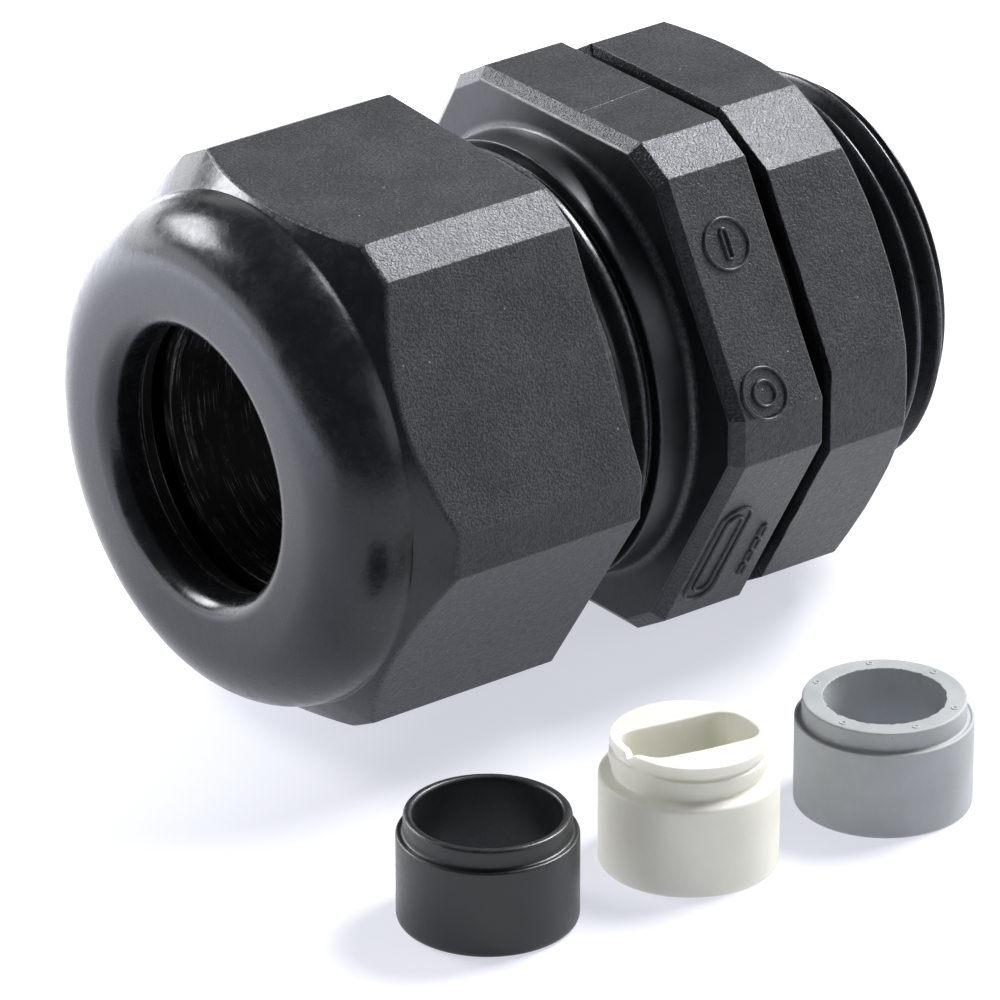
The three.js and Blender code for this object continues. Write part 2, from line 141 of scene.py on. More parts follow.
def rounded(points, fillets, arc, steps, support=0.12):
    """A closed outline with rounded corners, and how far each of its points is into a rounded corner.

    points is an array of (corner, ..., 2). arc is the steps round a corner, and steps those along each side.
    """
    points = np.asarray(points, float)
    count = len(points)
    starts, ends = [], []
    for i, fillet in enumerate(fillets):
        before, after = points[i - 1] - points[i], points[(i + 1) % count] - points[i]
        length_before = np.linalg.norm(before, axis=-1, keepdims=True)
        length_after = np.linalg.norm(after, axis=-1, keepdims=True)
        before, after = before / length_before, after / length_after
        if fillet is None:
            starts.append(points[i])
            ends.append(points[i])
            continue
        cosine = np.clip((before * after).sum(-1, keepdims=True), -0.9999, 0.9999)
        cut = fillet / np.tan(np.arccos(cosine) / 2)
        cut = np.minimum(cut, 0.45 * np.minimum(length_before, length_after))
        starts.append(points[i] + before * cut)
        ends.append(points[i] + after * cut)
    rows, edges = [], []
    for i, fillet in enumerate(fillets):
        following = (i + 1) % count
        if fillet is None:
            rows.append(points[i])
            edges.append(0.0)
            if fillets[following] is None:
                continue
        else:
            for step in range(arc + 1):
                s = step / arc
                rows.append((1 - s) ** 2 * starts[i] + 2 * s * (1 - s) * points[i] + s * s * ends[i])
                edges.append(4 * s * (1 - s))
        gap = starts[following] - ends[i]
        near = np.minimum(support / np.linalg.norm(gap, axis=-1, keepdims=True), 0.3)
        for step in range(steps[i] + 1):
            rows.append(ends[i] + gap * (near + (1 - 2 * near) * step / steps[i]))
            edges.append(0.0)
    return np.array(rows), np.array(edges)


def section_rows(section, columns=1, arc=4):
    """A section's rows for a number of columns, and how far into a rounded corner each row is.

    A corner's along or radius may be an array, with a value for each column.
    """
    places = [[np.broadcast_to(np.asarray(v, float), columns) for v in corner[:2]] for corner in section]
    fillets = [corner[2] for corner in section]
    steps = [corner[3] for corner in section]
    return rounded(np.array(places).transpose(0, 2, 1), fillets, arc, steps)


def hexagon(corner_flat, fillet=0.22, wide=10, narrow=3):
    """The angles, radii and rounding of a hexagon with flats at its top and bottom, and flattened corners."""
    corner_radius = ACROSS_FLATS / math.sqrt(3)
    reach = corner_radius - corner_flat / 2 / math.sqrt(3)
    corners = []
    for corner in range(6):
        cosine, sine = math.cos(corner * math.pi / 3), math.sin(corner * math.pi / 3)
        for z in (-corner_flat / 2, corner_flat / 2):
            corners.append((reach * cosine - z * sine, reach * sine + z * cosine))
    outline, edges = rounded(corners, [fillet] * 12, 4, [narrow, wide] * 6, support=0.15)
    return np.arctan2(outline[:, 1], outline[:, 0]), np.hypot(outline[:, 0], outline[:, 1]), edges


def circle(count):
    return np.arange(count) * 2 * math.pi / count


def quarter_arc(start, end, steps):
    """Points inside a quarter ellipse between two (along, radius) places. It leaves the first one along X."""
    found = []
    for step in range(1, steps):
        angle = math.pi / 2 * step / steps
        along = start[0] + (end[0] - start[0]) * math.sin(angle)
        radius = end[1] + (start[1] - end[1]) * math.cos(angle)
        found.append((along, radius))
    return found


def smooth_corners(places):
    """Corners of a section that are points on a smooth curve."""
    return [(along, radius, None, 1) for along, radius in places]


def grid_faces(rows, columns, close_columns=True):
    """The faces of a grid whose last row meets its first, and so do its columns unless they are left open."""
    faces = []
    for r in range(rows):
        for c in range(columns if close_columns else columns - 1):
            r2, c2 = (r + 1) % rows, (c + 1) % columns
            faces.append((r * columns + c, r * columns + c2, r2 * columns + c2, r2 * columns + c))
    return faces


def facing_out(points, faces):
    """The faces of a closed surface, turned to face out of it."""
    centred = np.asarray(points) - np.mean(points, axis=0)
    triangles = np.array([(f[0], f[k], f[k + 1]) for f in faces for k in range(1, len(f) - 1)])
    a, b, c = centred[triangles].transpose(1, 0, 2)
    volume = (a * np.cross(b, c)).sum()
    return faces if volume > 0 else [tuple(reversed(f)) for f in faces]


def along_axis(x, radius, angle):
    """Points at places along the gland's axis, radii and angles."""
    x, radius, angle = np.broadcast_arrays(x, radius, angle)
    return np.stack([x, radius * np.cos(angle), radius * np.sin(angle) + AXIS_HEIGHT], -1)


def make_object(name, points, faces, body, material, edge, replaces=(), second=None, is_second=None):
    """A closed mesh of millimetre points as an object that rides on a CAD body.

    edge says how worn each point is, and at the dome nut's lip and on the collar's raised marks it paints a
    highlight. is_second says which faces have the second material.
    """
    mesh = bpy.data.meshes.new(name)
    mesh.from_pydata((np.asarray(points) * MM).tolist(), [], facing_out(points, faces))
    mesh.validate()
    mesh.polygons.foreach_set("use_smooth", [True] * len(mesh.polygons))
    layer = mesh.attributes.new("edge", "FLOAT", "POINT")
    layer.data.foreach_set("value", np.asarray(edge, np.float32))
    mesh.materials.append(material)
    if second is not None:
        mesh.materials.append(second)
        mesh.polygons.foreach_set("material_index", np.asarray(is_second, np.int32))
    mesh.update()
    made = bpy.data.objects.new(name, mesh)
    bpy.context.scene.collection.objects.link(made)
    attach(made, body)
    if replaces:
        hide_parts(*replaces)
    return made


def turned(name, rows, angles, body, material, edge, replaces=(), second=None, second_rows=None):
    """A closed ring about the gland's axis, from rows of (along, radius)."""
    rows = np.broadcast_to(rows, (len(rows), len(angles), 2))
    points = along_axis(rows[..., 0], rows[..., 1], angles[None, :]).reshape(-1, 3)
    faces = grid_faces(len(rows), len(angles))
    wear = np.broadcast_to(np.asarray(edge, float), rows.shape[:2]).reshape(-1)
    is_second = None if second is None else np.repeat(second_rows, len(angles))
    return make_object(name, points, faces, body, material, wear, replaces, second, is_second)


# --- materials ---


class Shader:
    """A node material that is built one node at a time."""

    def __init__(self, name, **sockets):
        self.material = bpy.data.materials.new(name)
        self.material.use_nodes = True
        self.tree = self.material.node_tree
        self.surface = self.tree.nodes["Principled BSDF"]
        self.place = self.add("ShaderNodeTexCoord").outputs["Object"]
        for key, value in sockets.items():
            self.surface.inputs[key.replace("_", " ")].default_value = value

    def add(self, kind, inputs=None, **properties):
        node = self.tree.nodes.new(kind)
        for key, value in properties.items():
            setattr(node, key, value)
        for key, value in (inputs or {}).items():
            if isinstance(value, bpy.types.NodeSocket):
                self.tree.links.new(value, node.inputs[key])
            else:
                node.inputs[key].default_value = value
        return node

    def math(self, operation, a, b=0.0):
        return self.add("ShaderNodeMath", {0: a, 1: b}, operation=operation).outputs[0]

    def blend(self, a, b, share=0.5):
        """Two values, with b's share of the sum."""
        return self.math("ADD", self.math("MULTIPLY", a, 1 - share), self.math("MULTIPLY", b, share))

    def noise(self, size_mm, detail=2.0, roughness=0.5, vector=None, distortion=0.0):
        """Noise whose features are about size_mm wide."""
        inputs = {"Vector": vector or self.place, "Scale": 1 / (size_mm * MM), "Detail": detail,
                  "Roughness": roughness, "Distortion": distortion}
        return self.add("ShaderNodeTexNoise", inputs).outputs["Fac"]

    def ramp(self, value, low, high, to_low=0.0, to_high=1.0):
        inputs = {"Value": value, "From Min": low, "From Max": high, "To Min": to_low, "To Max": to_high}
        return self.add("ShaderNodeMapRange", inputs, clamp=True).outputs["Result"]

    def mix_colour(self, factor, a, b):
        node = self.add("ShaderNodeMix", {0: factor, 6: a, 7: b}, data_type="RGBA")
        return node.outputs[2]

    def wear_and_highlight(self, fine, low, high):
        """How worn the surface is, from the stored 'edge', broken up by fine noise. Where 'edge' marks the
        dome nut's lip and the raised marks, it is a painted highlight.
        """
        stored = self.add("ShaderNodeAttribute", attribute_name="edge").outputs["Fac"]
        return self.math("MULTIPLY", stored, self.ramp(fine, *low, *high))

    def specks(self, spacing_mm, radius_mm, share):
        """Small round specks, on a share of the cells of a pattern spacing_mm wide."""
        scale = 1 / (spacing_mm * MM)
        cells = self.add("ShaderNodeTexVoronoi", {"Vector": self.place, "Scale": scale})
        radius = radius_mm / spacing_mm
        near = self.ramp(cells.outputs["Distance"], radius * 1.4, radius * 0.6)
        picked = self.add("ShaderNodeSeparateColor", {0: cells.outputs["Color"]}).outputs[0]
        return self.math("MULTIPLY", near, self.ramp(picked, share, share * 0.9))

    def bump(self, height, depth_mm, normal=None):
        inputs = {"Height": height, "Distance": depth_mm * MM, "Strength": 1.0}
        if normal is not None:
            inputs["Normal"] = normal
        return self.add("ShaderNodeBump", inputs).outputs["Normal"]

    def link(self, socket, value):
        self.tree.links.new(value, self.surface.inputs[socket])


def colour(r, g, b):
    return (r, g, b, 1.0)


POLYMER_IOR = 1.5
POLYAMIDE_TINT = colour(0.89, 0.92, 1.0)
DUST, DARK_DUST = colour(0.34, 0.34, 0.35), colour(0.3, 0.3, 0.31)
# The pale colours at worn edges. On the smooth polyamide the pale colour also paints the highlights along the
# dome nut's lip and the collar's raised marks.
WORN_GRAIN, POLISH_WEAR_AND_HIGHLIGHT = colour(0.10, 0.105, 0.115), colour(0.09, 0.095, 0.105)


def grained_polyamide(name, dark, light):
    """Black polyamide flats with a spark-eroded grain, paler where the stored 'edge' says they are worn."""
    s = Shader(name, IOR=POLYMER_IOR, Specular_Tint=POLYAMIDE_TINT)
    grain = s.noise(0.16, detail=2.5, roughness=0.62)
    pits = s.noise(0.4)
    cloud = s.noise(4.0, detail=4.0, roughness=0.6)
    fine = s.noise(0.5, detail=3.0, roughness=0.6)
    s.link("Roughness", s.ramp(s.blend(cloud, pits), 0.35, 0.65, 0.31, 0.42))
    shade = s.mix_colour(s.ramp(s.blend(cloud, grain, 0.7), 0.41, 0.60), colour(*dark), colour(*light))
    worn = s.mix_colour(s.wear_and_highlight(fine, (0.4, 0.62), (0.15, 0.75)), shade, WORN_GRAIN)
    dusty = s.math("MULTIPLY", s.specks(0.9, 0.06, 0.2), 0.6)
    s.link("Base Color", s.mix_colour(dusty, worn, DUST))
    waves = s.bump(s.noise(3.0, detail=1.0), 0.02)
    s.link("Normal", s.bump(s.blend(grain, pits, 0.3), 0.085, waves))
    return s.material


def smooth_polyamide(name, rough):
    """Black polyamide from a polished part of the mould: nearly smooth, with handling marks and dust."""
    s = Shader(name, IOR=POLYMER_IOR, Specular_Tint=POLYAMIDE_TINT)
    blotch = s.noise(1.4, detail=5.0, roughness=0.65)
    fine = s.noise(0.25, detail=3.0, roughness=0.6)
    smear = s.noise(0.8, detail=6.0, roughness=0.7, distortion=1.2)
    s.link("Roughness", s.ramp(s.blend(blotch, smear), 0.35, 0.65, *rough))
    dark, light = colour(0.0050, 0.0052, 0.0058), colour(0.0090, 0.0094, 0.0108)
    shade = s.mix_colour(s.ramp(blotch, 0.3, 0.7), dark, light)
    # Pale where the stored 'edge' is high: worn edges, and the painted highlights on the dome nut's lip and
    # the raised marks.
    worn = s.mix_colour(s.wear_and_highlight(fine, (0.4, 0.62), (0.1, 0.6)), shade, POLISH_WEAR_AND_HIGHLIGHT)
    dusty = s.math("MULTIPLY", s.specks(1.3, 0.05, 0.22), 0.45)
    s.link("Base Color", s.mix_colour(dusty, worn, DARK_DUST))
    s.link("Normal", s.bump(fine, 0.006, s.bump(s.noise(1.8), 0.012)))
    return s.material


def scratches_round_axis(s):
    """Fine scratches that run round the gland's axis: noise drawn out along the angle about it."""
    parts = s.add("ShaderNodeSeparateXYZ", {0: s.place})
    height = s.math("SUBTRACT", parts.outputs["Z"], AXIS_HEIGHT * MM)
    angle = s.math("ARCTAN2", height, parts.outputs["Y"])
    squares = s.math("ADD", s.math("POWER", height, 2.0), s.math("POWER", parts.outputs["Y"], 2.0))
    radius = s.math("SQRT", squares)
    shrunk_angle = s.math("MULTIPLY", angle, 0.00016)
    drawn_out = s.add("ShaderNodeCombineXYZ", {0: parts.outputs["X"], 1: shrunk_angle, 2: radius})
    return s.noise(0.10, detail=3.0, roughness=0.7, vector=drawn_out.outputs[0])


def seal_rubber(name):
    """Black rubber, with fine scratches round its bore and crumbs of dust."""
    s = Shader(name, IOR=POLYMER_IOR)
    scratch = scratches_round_axis(s)
    cloud = s.noise(2.2, detail=5.0, roughness=0.7)
    lines = s.math("MULTIPLY", s.ramp(scratch, 0.56, 0.66), s.ramp(cloud, 0.42, 0.62))
    crumbs = s.math("MULTIPLY", s.specks(0.55, 0.05, 0.22), s.ramp(cloud, 0.42, 0.6))
    marks = s.math("MAXIMUM", s.math("MULTIPLY", lines, 0.85), crumbs)
    s.link("Base Color", s.mix_colour(marks, colour(0.006, 0.006, 0.0065), colour(0.62, 0.62, 0.60)))
    s.link("Roughness", s.ramp(scratch, 0.35, 0.7, 0.36, 0.6))
    s.link("Normal", s.bump(scratch, 0.015))
    return s.material


def plain_rubber(name, dark, light, rough, grain_depth, speck, speck_share, speck_mm=0.06, **sockets):
    """Moulded rubber or silicone: a soft grain, slow colour variation and a few specks."""
    s = Shader(name, **sockets)
    cloud = s.noise(2.8, detail=4.0, roughness=0.6)
    fine = s.noise(0.35, detail=4.0, roughness=0.6)
    s.link("Roughness", s.ramp(s.blend(cloud, fine), 0.35, 0.65, *rough))
    shade = s.mix_colour(s.ramp(cloud, 0.32, 0.68), colour(*dark), colour(*light))
    paler = colour(*[min(1.0, v * 1.6 + 0.03) for v in light])
    shade = s.mix_colour(s.wear_and_highlight(fine, (0.35, 0.65), (0.05, 0.35)), shade, paler)
    s.link("Base Color", s.mix_colour(s.specks(0.9, speck_mm, speck_share), shade, colour(*speck)))
    s.link("Normal", s.bump(s.noise(0.12), grain_depth, s.bump(cloud, 0.03)))
    return s.material


POLYAMIDE_PITS = (0.0040, 0.0042, 0.0047)
BODY = grained_polyamide("body polyamide", POLYAMIDE_PITS, (0.034, 0.035, 0.038))
NUT = grained_polyamide("nut polyamide", POLYAMIDE_PITS, (0.032, 0.0335, 0.0365))
BODY_SMOOTH = smooth_polyamide("smooth body polyamide", (0.28, 0.42))
NUT_SMOOTH = smooth_polyamide("smooth nut polyamide", (0.16, 0.34))
THREADS = smooth_polyamide("thread polyamide", (0.22, 0.36))
SEAL = seal_rubber("seal rubber")
ACETAL = plain_rubber(
    "slip ring acetal", (0.010, 0.010, 0.011), (0.016, 0.016, 0.018), rough=(0.3, 0.42), grain_depth=0.004,
    speck=(0.2, 0.2, 0.2), speck_share=0.08,
)
GASKET = plain_rubber(
    "gasket rubber", (0.008, 0.008, 0.009), (0.014, 0.014, 0.015), rough=(0.55, 0.7), grain_depth=0.02,
    speck=(0.2, 0.2, 0.2), speck_share=0.1,
)
BLACK_RUBBER = plain_rubber(
    "black insert rubber", (0.0085, 0.009, 0.010), (0.013, 0.0138, 0.0155), rough=(0.30, 0.42),
    grain_depth=0.006, speck=(0.22, 0.22, 0.22), speck_share=0.06, speck_mm=0.04,
)
WHITE_SILICONE = plain_rubber(
    "white insert silicone", (0.74, 0.73, 0.655), (0.78, 0.77, 0.70), rough=(0.42, 0.55), grain_depth=0.004,
    speck=(0.55, 0.52, 0.46), speck_share=0.03, speck_mm=0.04, Subsurface_Weight=0.35,
    Subsurface_Scale=0.002, Subsurface_Radius=(1.0, 0.97, 0.90),
)
GREY_RUBBER = plain_rubber(
    "grey insert rubber", (0.35, 0.37, 0.385), (0.41, 0.43, 0.445), rough=(0.5, 0.64), grain_depth=0.012,
    speck=(0.16, 0.17, 0.18), speck_share=0.10, speck_mm=0.05,
)


# --- the gland's fixed body ---


def build_body():
    angles, flat_radius, corner_edge = hexagon(COLLAR_CORNER_FLAT)
    neck_core = NECK_THREAD.crest - NECK_THREAD.depth - 0.05
    entry_core = ENTRY_THREAD.crest - ENTRY_THREAD.depth - 0.1
    rows, edge = section_rows([
        (NECK_END, SEAL_SEAT_RADIUS, 0.2, 1),
        (NECK_END, neck_core, 0.2, 6),
        (BOSS_FRONT, neck_core, 0.2, 2),
        (BOSS_FRONT, BOSS_RADIUS, 0.14, 2),
        (COLLAR_FRONT, BOSS_RADIUS, 0.55, 4),
        (COLLAR_FRONT, flat_radius * (1 - COLLAR_BEVEL / COLLAR_MEAN_RADIUS), 0.16, 1),
        (COLLAR_FRONT + COLLAR_BEVEL, flat_radius, 0.12, 4),
        (COLLAR_BACK, flat_radius, 0.12, 3),
        (COLLAR_BACK, entry_core + ENTRY_CORE_FLARE, 0.3, 6),
        (ENTRY_END, entry_core, 0.3, 2),
        (ENTRY_END, BORE_RADIUS, 0.3, 8),
        (SEAL_SEAT_FLOOR, BORE_RADIUS, 0.15, 1),
        (SEAL_SEAT_FLOOR, SEAL_SEAT_RADIUS, 0.2, 2),
    ], len(angles))
    on_collar = rows[..., 1].max(1) > BOSS_RADIUS + 1.0
    on_face = np.isclose(rows[:, 0, 0], COLLAR_FRONT, atol=0.05)
    wear = np.maximum(edge[:, None], np.where(on_collar, 0.5, 0.0)[:, None] * corner_edge)
    turned("gland_shell", rows, angles, "gland_body", BODY, wear, ["gland_body"],
           BODY_SMOOTH, ~on_collar | on_face)


def thread_height(thread, x, angle):
    """How far a thread's surface is below its crest, at places along the axis and angles."""
    phase = (x / thread.pitch - angle / (2 * math.pi)) % 1.0
    from_crest = np.minimum(phase, 1 - phase) * thread.pitch
    fall = (from_crest - thread.crest_width / 2) / math.tan(math.pi / 6)

    def soft_floor(value):
        return THREAD_SOFTNESS * np.log1p(np.exp(np.clip(value / THREAD_SOFTNESS, -30, 30)))

    return thread.depth - soft_floor(thread.depth - soft_floor(fall))


def thread_rows(thread, start, end, chamfers, is_nut):
    """The rows of (along, radius) of a thread, and each point's share of its height."""
    angles = np.arange(THREAD_COLUMNS + 1) * 2 * math.pi / THREAD_COLUMNS
    first = math.floor(start / thread.pitch) - 1
    rows, shares = [], []
    for k in range((math.ceil((end - start) / thread.pitch) + 3) * THREAD_STEPS):
        x = np.clip(thread.pitch * (first + k / THREAD_STEPS + angles / (2 * math.pi)), start, end)
        below = thread_height(thread, x, angles)
        lead = np.clip(np.minimum((x - start) / chamfers[0], (end - x) / chamfers[1]), 0, 1)
        if is_nut:
            below = np.minimum(below, lead * thread.depth)
        else:
            below = np.maximum(below, (1 - lead) * thread.depth)
        rows.append(np.stack([x, thread.crest - below + thread.taper * (ENTRY_END - x)], -1))
        shares.append(below / thread.depth if is_nut else 1 - below / thread.depth)
    return np.array(rows), np.array(shares), angles


def thread_sleeve(name, body, material, thread, start, end, hidden, chamfers):
    """A threaded sleeve. Its other side, at the radius 'hidden', is inside the body that carries it.

    When the hidden side is the outer one, the thread is a nut's: the hollow that the crests run in. Its
    rows follow the helix, so points that meet where they are cut off at the ends are joined into one.
    """
    is_nut = hidden > thread.crest
    rows, shares, angles = thread_rows(thread, start, end, chamfers, is_nut)
    points, edge, index = [], [], {}

    def vertex(place, share):
        key = tuple(np.round(place, 4))
        if key not in index:
            index[key] = len(points)
            points.append(place)
            edge.append(share)
        return index[key]

    placed = along_axis(rows[..., 0], rows[..., 1], angles[None, :])
    grid = [[vertex(*pair) for pair in zip(*row)] for row in zip(placed, shares)]
    hidden_rows = [[vertex(place, 0.0) for place in along_axis(x, hidden, angles)] for x in (start, end)]
    grid = [hidden_rows[0]] + grid + [hidden_rows[1]]
    faces = []
    for upper, lower in zip(grid, grid[1:] + grid[:1]):
        for c in range(THREAD_COLUMNS):
            corners = tuple(dict.fromkeys((upper[c], upper[c + 1], lower[c + 1], lower[c])))
            if len(corners) > 2:
                faces.append(corners)
    wear = np.clip((np.array(edge) - 0.75) * 4, 0, 1) * (0.2 if is_nut else 1.0)
    make_object(name, points, faces, body, material, wear)


def build_threads():
    in_nut = NECK_THREAD._replace(crest=NECK_THREAD.crest + THREAD_CLEARANCE)
    in_lock_nut = ENTRY_THREAD._replace(crest=LOCK_THREAD_CREST, taper=0.0)
    thread_sleeve("neck_thread", "gland_body", THREADS, NECK_THREAD,
                  NECK_END + 0.15, BOSS_FRONT - 0.1, hidden=12.9, chamfers=(1.2, 0.9))
    thread_sleeve("dome_nut_thread", "dome_nut", NUT_SMOOTH, in_nut,
                  NUT_THREAD_END + 0.1, DOME_REAR - 0.1, hidden=15.0, chamfers=(0.4, 0.9))
    thread_sleeve("entry_thread", "gland_body", THREADS, ENTRY_THREAD,
                  COLLAR_BACK + 0.4, ENTRY_END - 0.1, hidden=11.4, chamfers=(0.3, 1.2))
    thread_sleeve("lock_nut_thread", "lock_nut", THREADS, in_lock_nut,
                  LOCK_FRONT + 0.1, LOCK_REAR - 0.1, hidden=LOCK_THREAD_CREST + 0.5,
                  chamfers=(0.8, 0.8))


# --- raised marks ---

MARK_WIDTH, MARK_HEIGHT = 0.26, 0.2

# A ridge's section in shares of its width and height. Both of its feet are under the surface it lies on.
RIDGE_SECTION = [
    (-0.5, -0.4), (-0.46, 0.15), (-0.28, 0.75), (0.0, 1.0), (0.28, 0.75), (0.46, 0.15), (0.5, -0.4),
]


def ridge(name, path, normals, width, height, body, material, wear, closed=True):
    """A low rounded ridge along a path, lying on a surface with the given normals."""
    path, normals = np.asarray(path, float), np.asarray(normals, float)
    forward = np.roll(path, -1, 0) - np.roll(path, 1, 0)
    if not closed:
        forward[0], forward[-1] = path[1] - path[0], path[-1] - path[-2]
    forward /= np.linalg.norm(forward, axis=1, keepdims=True)
    side = np.cross(forward, normals)
    points = []
    for across, up in RIDGE_SECTION:
        points.extend(path + side * across * width + normals * up * height)
    rows, columns = len(RIDGE_SECTION), len(path)
    faces = grid_faces(rows, columns, close_columns=closed)
    if not closed:
        faces.append(tuple(r * columns for r in reversed(range(rows))))
        faces.append(tuple(r * columns + columns - 1 for r in range(rows)))
    make_object(name, points, faces, body, material, np.full(len(points), wear))


def on_flat(places, angle):
    """Places (along, across) on the hexagon's flat whose normal is at an angle, and their normals."""
    normal = np.array([0.0, math.cos(angle), math.sin(angle)])
    tangent = np.array([0.0, -math.sin(angle), math.cos(angle)])
    base = np.array([0.0, 0.0, AXIS_HEIGHT]) + normal * ACROSS_FLATS / 2
    points = [base + np.array([along, 0.0, 0.0]) + tangent * across for along, across in places]
    return points, [normal] * len(points)


def ring_outline(along, across, radius, count=64):
    return [(along + radius * math.cos(a), across + radius * math.sin(a)) for a in circle(count)]


def bar_outline(along, across, half_length, radius, count=24):
    """The outline of a rounded bar that lies across the gland's axis."""
    found = []
    for end, start in ((1, 0.0), (-1, math.pi)):
        for step in range(count + 1):
            a = start + math.pi * step / count
            found.append((along + radius * math.cos(a), across + end * half_length + radius * math.sin(a)))
    return found


def build_marks():
    """Plain raised marks on two of the collar's flats, pale to paint the highlights along their edges, and
    the mould's parting line on its top flat.
    """
    upper, lower, top = math.radians(150), math.radians(210), math.radians(90)
    marks = [
        ("mark_ring_a", ring_outline(0.0, -2.95, 1.62), upper),
        ("mark_ring_b", ring_outline(-0.72, 6.42, 1.62), upper),
        ("mark_ring_b_inner", ring_outline(-0.72, 6.42, 0.8, 40), upper),
        ("mark_dash_a", bar_outline(0.0, -2.95, 0.75, 0.22, 10), upper),
        ("mark_bar", bar_outline(-1.0, 1.5, 3.4, 1.15), lower),
        ("mark_bar_inner", bar_outline(-1.0, 1.5, 3.1, 0.6), lower),
    ]
    for number in range(4):
        dash = bar_outline(2.1, 0.45 + 1.3 * number, 0.35, 0.2, 10)
        marks.append((f"mark_row_{number + 1}", dash, lower))
    for name, outline, angle in marks:
        path, normals = on_flat(outline, angle)
        # The high wear value colours these marks pale: a painted highlight for the light along their raised
        # edges.
        ridge(name, path, normals, MARK_WIDTH, MARK_HEIGHT, "gland_body", BODY_SMOOTH,
              wear=0.75)
    start, steps = COLLAR_FRONT + COLLAR_BEVEL, 24
    shares = [step / steps for step in range(steps + 1)]
    line = [(start + (COLLAR_BACK - start) * share, 1.85 - 0.6 * share) for share in shares]
    path, normals = on_flat(line, top)
    ridge("parting_line", path, normals, 0.1, 0.04, "gland_body", BODY, wear=0.7,
          closed=False)


# --- the dome nut ---


def build_dome_nut():
    angles, flat_radius, corner_edge = hexagon(DOME_CORNER_FLAT, fillet=0.2, wide=16, narrow=4)
    crease = CORNER_CONE_X + (flat_radius - CORNER_CONE_RADIUS) / CORNER_CONE_SLOPE
    bore = NECK_THREAD.crest + THREAD_CLEARANCE + THREAD_SINK
    dome = quarter_arc((DOME_EDGE_X, DOME_EDGE_RADIUS), (DOME_FRONT, NOSE_RADIUS), 14)
    lip = quarter_arc((DOME_FRONT + LIP_ROUND, LIP_RADIUS), (DOME_FRONT, LIP_RADIUS + LIP_ROUND), 8)
    rows, edge = section_rows([
        (DOME_REAR, flat_radius, 0.16, 8),
        (crease, flat_radius, 0.5, 1),
        (DOME_EDGE_X, DOME_EDGE_RADIUS, 0.28, 1),
        *smooth_corners(dome),
        (DOME_FRONT, NOSE_RADIUS - 0.05, None, 1),
        (DOME_FRONT, LIP_RADIUS + LIP_ROUND, None, 1),
        *smooth_corners(reversed(lip)),
        (DOME_FRONT + LIP_ROUND, LIP_RADIUS, None, 2),
        (LIP_INNER, LIP_RADIUS, 0.15, 2),
        (LIP_INNER, CLAMP_CONE_SMALL, 0.2, 6),
        (CLAMP_CONE_MOUTH, CLAMP_CONE_LARGE, 0.5, 3),
        (NUT_THREAD_END, bore, 0.5, 3),
        (DOME_REAR, bore, 0.3, 3),
    ], len(angles))
    on_flats = (np.abs(rows[..., 1] - flat_radius) < 0.01).all(1)
    rear_edge_rows = 6
    crease_row = next(i for i in range(rear_edge_rows + 1, len(rows)) if on_flats[i] and not on_flats[i + 1])
    wear = np.repeat(edge[:, None] * 0.8, len(angles), axis=1)
    wear[:crease_row + 1] = np.maximum(wear[:crease_row + 1], corner_edge * 0.35)
    wear[crease_row:] *= 0.15
    # The rows at the lip's inner edge are set fully worn. Their pale colour is a painted highlight: the thin
    # light line that this edge catches.
    lip_highlight = (np.abs(rows[:, 0, 0] - LIP_INNER) < 0.2) & (rows[:, 0, 1] < LIP_RADIUS + 0.4)
    wear[lip_highlight] = 1.0
    polished = np.arange(len(rows)) > crease_row + 2
    turned("dome_nut_shell", rows, angles + DOME_TURN, "dome_nut", NUT, wear, ["dome_nut"],
           NUT_SMOOTH, polished)


# --- the panel end ---


def build_lock_nut():
    angles, flat_radius, corner_edge = hexagon(LOCK_CORNER_FLAT, fillet=0.2, wide=16, narrow=10)
    count = len(angles)
    rng = np.random.default_rng(5)
    crease = LOCK_CONE_X + (flat_radius - LOCK_CONE_RADIUS) / LOCK_CONE_SLOPE
    rear_radius = LOCK_CONE_RADIUS + (LOCK_REAR - LOCK_CONE_X) * LOCK_CONE_SLOPE
    bore = LOCK_THREAD_CREST + THREAD_SINK
    rows, edge = section_rows([
        (LOCK_FRONT, bore, 0.3, 6),
        (LOCK_FRONT, flat_radius, 0.07, 6),
        (np.minimum(crease, LOCK_REAR - 0.1), flat_radius, 0.25, 2),
        (LOCK_REAR, np.minimum(rear_radius, flat_radius - 0.05), 0.12, 4),
        (LOCK_REAR, bore, 0.3, 3),
    ], count)
    ragged = np.convolve(rng.normal(0, 1, count + 4), [0.25, 0.5, 0.25], "same")[:count] * FLASH
    near_front = np.exp(-((rows[..., 0] - LOCK_FRONT) / 0.1) ** 2) * (rows[..., 1] > flat_radius - 0.35)
    rows[..., 1] += near_front * np.abs(ragged) * 0.6
    rows[..., 0] += near_front * ragged
    on_flats = (rows[..., 1] > flat_radius - 0.02).all(1)
    wear = np.maximum(edge[:, None], np.where(on_flats, 0.4, 0.0)[:, None] * corner_edge)
    on_face = rows[..., 1].min(1) < 15.9
    turned("lock_nut_shell", rows, angles, "lock_nut", BODY, wear, ["lock_nut"],
           BODY_SMOOTH, on_face)


def washer(front, rear, inner, outer):
    corners = [(front, inner), (front, outer), (rear, outer), (rear, inner)]
    return section_rows([(along, radius, 0.15, 1) for along, radius in corners])


def build_rings():
    rows, edge = washer(GASKET_FRONT, GASKET_REAR, GASKET_INNER, GASKET_OUTER)
    turned("entry_gasket_ring", rows, circle(96), "entry_gasket", GASKET, 0.0,
           ["entry_gasket"])
    rows, edge = washer(RING_FRONT, RING_REAR, SLIP_RING_INNER, SLIP_RING_OUTER)
    turned("slip_ring_washer", rows, circle(96), "slip_ring", ACETAL, edge[:, None] * 0.4,
           ["slip_ring"])


